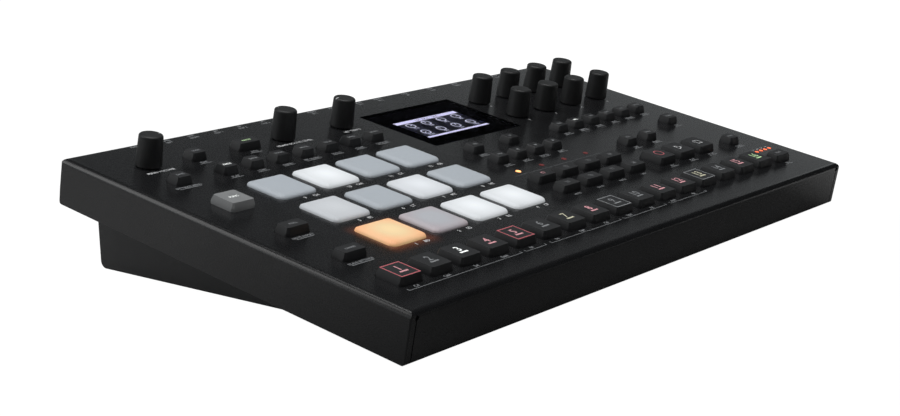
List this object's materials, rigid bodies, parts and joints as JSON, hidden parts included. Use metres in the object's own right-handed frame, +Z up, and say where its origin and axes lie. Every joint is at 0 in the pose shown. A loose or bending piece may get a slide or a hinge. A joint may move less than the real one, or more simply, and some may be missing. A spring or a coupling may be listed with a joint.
{
  "type": "drum machine",
  "caption": "Desktop drum machine: tilted sheet steel case with square pads, step keys, small keys, turning knobs, a display and rear audio and data sockets.",
  "frame": {"origin": "middle of the bounding box on the surface that the rubber feet stand on", "axes": "+Z up; +X to the player's right along the case's width; +Y away from the player, towards the rear sockets"},
  "size_m": [0.385, 0.2158, 0.0763],
  "materials": {
    "case_paint": "satin",
    "tray_paint": "satin",
    "foot_rubber": "matt",
    "screw_steel": "satin",
    "display_glass": "gloss",
    "display_dark": "gloss",
    "board_green": "satin",
    "socket_black": "satin",
    "encoder_metal": "satin",
    "switch_black": "satin",
    "light_orange": "gloss",
    "knob_black": "matt",
    "pad_silicone": "matt",
    "key_dark": "satin",
    "key_grey": "satin"
  },
  "bodies": {
    "case": {"top_cover": "case_paint", "bottom_tray": "tray_paint", "rubber_feet": "foot_rubber", "case_screws": "screw_steel", "display_window": "display_glass", "display_module": "display_dark", "control_board": "board_green", "connector_board": "board_green", "audio_jacks": "socket_black", "data_sockets": "socket_black", "rotary_encoders": "encoder_metal", "key_switches": "switch_black", "status_leds": "light_orange"},
    "knob_volume": {"knob_volume": "knob_black"},
    "power_button": {"power_button": "key_dark"},
    "func_key": {"func_key": "key_grey"},
    "transport_keys": {"transport_keys": "key_dark"},
    "track_keys": {"track_keys": "key_dark"},
    "page_keys": {"page_keys": "key_dark"},
    "navigation_keys": {"navigation_keys": "key_dark"},
    "mode_keys": {"mode_keys": "key_dark"},
    "side_keys": {"side_keys": "key_dark"},
    "knob_sound": {"knob_sound": "knob_black"},
    "knob_tempo": {"knob_tempo": "knob_black"},
    "knob_a": {"knob_a": "knob_black"},
    "knob_e": {"knob_e": "knob_black"},
    "pad_1": {"pad_1": "pad_silicone"},
    "pad_6": {"pad_6": "pad_silicone"},
    "pad_12": {"pad_12": "pad_silicone"},
    "step_1": {"step_1": "key_dark"},
    "step_5": {"step_5": "key_dark"},
    "step_16": {"step_16": "key_dark"},
    "knob_b": {"knob_b": "knob_black"},
    "knob_c": {"knob_c": "knob_black"},
    "knob_d": {"knob_d": "knob_black"},
    "knob_f": {"knob_f": "knob_black"},
    "knob_g": {"knob_g": "knob_black"},
    "knob_h": {"knob_h": "knob_black"},
    "pad_2": {"pad_2": "pad_silicone"},
    "pad_3": {"pad_3": "pad_silicone"},
    "pad_4": {"pad_4": "pad_silicone"},
    "pad_5": {"pad_5": "pad_silicone"},
    "pad_7": {"pad_7": "pad_silicone"},
    "pad_8": {"pad_8": "pad_silicone"},
    "pad_9": {"pad_9": "pad_silicone"},
    "pad_10": {"pad_10": "pad_silicone"},
    "pad_11": {"pad_11": "pad_silicone"},
    "step_2": {"step_2": "key_dark"},
    "step_3": {"step_3": "key_dark"},
    "step_4": {"step_4": "key_dark"},
    "step_6": {"step_6": "key_dark"},
    "step_7": {"step_7": "key_dark"},
    "step_8": {"step_8": "key_dark"},
    "step_9": {"step_9": "key_dark"},
    "step_10": {"step_10": "key_dark"},
    "step_11": {"step_11": "key_dark"},
    "step_12": {"step_12": "key_dark"},
    "step_13": {"step_13": "key_dark"},
    "step_14": {"step_14": "key_dark"},
    "step_15": {"step_15": "key_dark"}
  },
  "joints": [
    {"name": "knob_volume_turn", "type": "hinge", "parent": "case", "child": "knob_volume", "pos_m": [-0.1643, 0.07244, 0.06761], "axis": [0, -0.1779, 0.984], "range_deg": [-50, 250]},
    {"name": "power_button_press", "type": "slide", "parent": "case", "child": "power_button", "axis": [0, -0.9913, -0.1314], "range_m": [0, 0.002], "stiffness_N_per_m": 900},
    {"name": "func_key_press", "type": "slide", "parent": "case", "child": "func_key", "axis": [0, 0.1779, -0.984], "range_m": [0, 0.0015], "stiffness_N_per_m": 800},
    {"name": "transport_keys_press", "type": "slide", "parent": "case", "child": "transport_keys", "axis": [0, 0.1779, -0.984], "range_m": [0, 0.0015], "stiffness_N_per_m": 2400},
    {"name": "track_keys_press", "type": "slide", "parent": "case", "child": "track_keys", "axis": [0, 0.1779, -0.984], "range_m": [0, 0.0015], "stiffness_N_per_m": 6400},
    {"name": "page_keys_press", "type": "slide", "parent": "case", "child": "page_keys", "axis": [0, 0.1779, -0.984], "range_m": [0, 0.0015], "stiffness_N_per_m": 4800},
    {"name": "navigation_keys_press", "type": "slide", "parent": "case", "child": "navigation_keys", "axis": [0, 0.1779, -0.984], "range_m": [0, 0.0015], "stiffness_N_per_m": 4800},
    {"name": "mode_keys_press", "type": "slide", "parent": "case", "child": "mode_keys", "axis": [0, 0.1779, -0.984], "range_m": [0, 0.0015], "stiffness_N_per_m": 9600},
    {"name": "side_keys_press", "type": "slide", "parent": "case", "child": "side_keys", "axis": [0, 0.1779, -0.984], "range_m": [0, 0.0015], "stiffness_N_per_m": 4000},
    {"name": "knob_sound_turn", "type": "hinge", "parent": "case", "child": "knob_sound", "pos_m": [-0.0735, 0.07175, 0.06749], "axis": [0, -0.1779, 0.984], "continuous": true},
    {"name": "knob_tempo_turn", "type": "hinge", "parent": "case", "child": "knob_tempo", "pos_m": [-0.0285, 0.07175, 0.06749], "axis": [0, -0.1779, 0.984], "continuous": true},
    {"name": "knob_a_turn", "type": "hinge", "parent": "case", "child": "knob_a", "pos_m": [0.0844, 0.06555, 0.06637], "axis": [0, -0.1779, 0.984], "continuous": true},
    {"name": "knob_e_turn", "type": "hinge", "parent": "case", "child": "knob_e", "pos_m": [0.0844, 0.03859, 0.06149], "axis": [0, -0.1779, 0.984], "continuous": true},
    {"name": "pad_1_press", "type": "slide", "parent": "case", "child": "pad_1", "axis": [0, 0.1779, -0.984], "range_m": [0, 0.0007], "stiffness_N_per_m": 2500},
    {"name": "pad_6_press", "type": "slide", "parent": "case", "child": "pad_6", "axis": [0, 0.1779, -0.984], "range_m": [0, 0.0007], "stiffness_N_per_m": 2500},
    {"name": "pad_12_press", "type": "slide", "parent": "case", "child": "pad_12", "axis": [0, 0.1779, -0.984], "range_m": [0, 0.0007], "stiffness_N_per_m": 2500},
    {"name": "step_1_press", "type": "slide", "parent": "case", "child": "step_1", "axis": [0, 0.1779, -0.984], "range_m": [0, 0.0015], "stiffness_N_per_m": 800},
    {"name": "step_5_press", "type": "slide", "parent": "case", "child": "step_5", "axis": [0, 0.1779, -0.984], "range_m": [0, 0.0015], "stiffness_N_per_m": 800},
    {"name": "step_16_press", "type": "slide", "parent": "case", "child": "step_16", "axis": [0, 0.1779, -0.984], "range_m": [0, 0.0015], "stiffness_N_per_m": 800},
    {"name": "knob_b_turn", "type": "hinge", "parent": "case", "child": "knob_b", "pos_m": [0.11125, 0.06555, 0.06637], "axis": [0, -0.1779, 0.984], "continuous": true},
    {"name": "knob_c_turn", "type": "hinge", "parent": "case", "child": "knob_c", "pos_m": [0.1381, 0.06555, 0.06637], "axis": [0, -0.1779, 0.984], "continuous": true},
    {"name": "knob_d_turn", "type": "hinge", "parent": "case", "child": "knob_d", "pos_m": [0.16495, 0.06555, 0.06637], "axis": [0, -0.1779, 0.984], "continuous": true},
    {"name": "knob_f_turn", "type": "hinge", "parent": "case", "child": "knob_f", "pos_m": [0.11125, 0.03859, 0.06149], "axis": [0, -0.1779, 0.984], "continuous": true},
    {"name": "knob_g_turn", "type": "hinge", "parent": "case", "child": "knob_g", "pos_m": [0.1381, 0.03859, 0.06149], "axis": [0, -0.1779, 0.984], "continuous": true},
    {"name": "knob_h_turn", "type": "hinge", "parent": "case", "child": "knob_h", "pos_m": [0.16495, 0.03859, 0.06149], "axis": [0, -0.1779, 0.984], "continuous": true},
    {"name": "pad_2_press", "type": "slide", "parent": "case", "child": "pad_2", "axis": [0, 0.1779, -0.984], "range_m": [0, 0.0007], "stiffness_N_per_m": 2500},
    {"name": "pad_3_press", "type": "slide", "parent": "case", "child": "pad_3", "axis": [0, 0.1779, -0.984], "range_m": [0, 0.0007], "stiffness_N_per_m": 2500},
    {"name": "pad_4_press", "type": "slide", "parent": "case", "child": "pad_4", "axis": [0, 0.1779, -0.984], "range_m": [0, 0.0007], "stiffness_N_per_m": 2500},
    {"name": "pad_5_press", "type": "slide", "parent": "case", "child": "pad_5", "axis": [0, 0.1779, -0.984], "range_m": [0, 0.0007], "stiffness_N_per_m": 2500},
    {"name": "pad_7_press", "type": "slide", "parent": "case", "child": "pad_7", "axis": [0, 0.1779, -0.984], "range_m": [0, 0.0007], "stiffness_N_per_m": 2500},
    {"name": "pad_8_press", "type": "slide", "parent": "case", "child": "pad_8", "axis": [0, 0.1779, -0.984], "range_m": [0, 0.0007], "stiffness_N_per_m": 2500},
    {"name": "pad_9_press", "type": "slide", "parent": "case", "child": "pad_9", "axis": [0, 0.1779, -0.984], "range_m": [0, 0.0007], "stiffness_N_per_m": 2500},
    {"name": "pad_10_press", "type": "slide", "parent": "case", "child": "pad_10", "axis": [0, 0.1779, -0.984], "range_m": [0, 0.0007], "stiffness_N_per_m": 2500},
    {"name": "pad_11_press", "type": "slide", "parent": "case", "child": "pad_11", "axis": [0, 0.1779, -0.984], "range_m": [0, 0.0007], "stiffness_N_per_m": 2500},
    {"name": "step_2_press", "type": "slide", "parent": "case", "child": "step_2", "axis": [0, 0.1779, -0.984], "range_m": [0, 0.0015], "stiffness_N_per_m": 800},
    {"name": "step_3_press", "type": "slide", "parent": "case", "child": "step_3", "axis": [0, 0.1779, -0.984], "range_m": [0, 0.0015], "stiffness_N_per_m": 800},
    {"name": "step_4_press", "type": "slide", "parent": "case", "child": "step_4", "axis": [0, 0.1779, -0.984], "range_m": [0, 0.0015], "stiffness_N_per_m": 800},
    {"name": "step_6_press", "type": "slide", "parent": "case", "child": "step_6", "axis": [0, 0.1779, -0.984], "range_m": [0, 0.0015], "stiffness_N_per_m": 800},
    {"name": "step_7_press", "type": "slide", "parent": "case", "child": "step_7", "axis": [0, 0.1779, -0.984], "range_m": [0, 0.0015], "stiffness_N_per_m": 800},
    {"name": "step_8_press", "type": "slide", "parent": "case", "child": "step_8", "axis": [0, 0.1779, -0.984], "range_m": [0, 0.0015], "stiffness_N_per_m": 800},
    {"name": "step_9_press", "type": "slide", "parent": "case", "child": "step_9", "axis": [0, 0.1779, -0.984], "range_m": [0, 0.0015], "stiffness_N_per_m": 800},
    {"name": "step_10_press", "type": "slide", "parent": "case", "child": "step_10", "axis": [0, 0.1779, -0.984], "range_m": [0, 0.0015], "stiffness_N_per_m": 800},
    {"name": "step_11_press", "type": "slide", "parent": "case", "child": "step_11", "axis": [0, 0.1779, -0.984], "range_m": [0, 0.0015], "stiffness_N_per_m": 800},
    {"name": "step_12_press", "type": "slide", "parent": "case", "child": "step_12", "axis": [0, 0.1779, -0.984], "range_m": [0, 0.0015], "stiffness_N_per_m": 800},
    {"name": "step_13_press", "type": "slide", "parent": "case", "child": "step_13", "axis": [0, 0.1779, -0.984], "range_m": [0, 0.0015], "stiffness_N_per_m": 800},
    {"name": "step_14_press", "type": "slide", "parent": "case", "child": "step_14", "axis": [0, 0.1779, -0.984], "range_m": [0, 0.0015], "stiffness_N_per_m": 800},
    {"name": "step_15_press", "type": "slide", "parent": "case", "child": "step_15", "axis": [0, 0.1779, -0.984], "range_m": [0, 0.0015], "stiffness_N_per_m": 800}
  ]
}
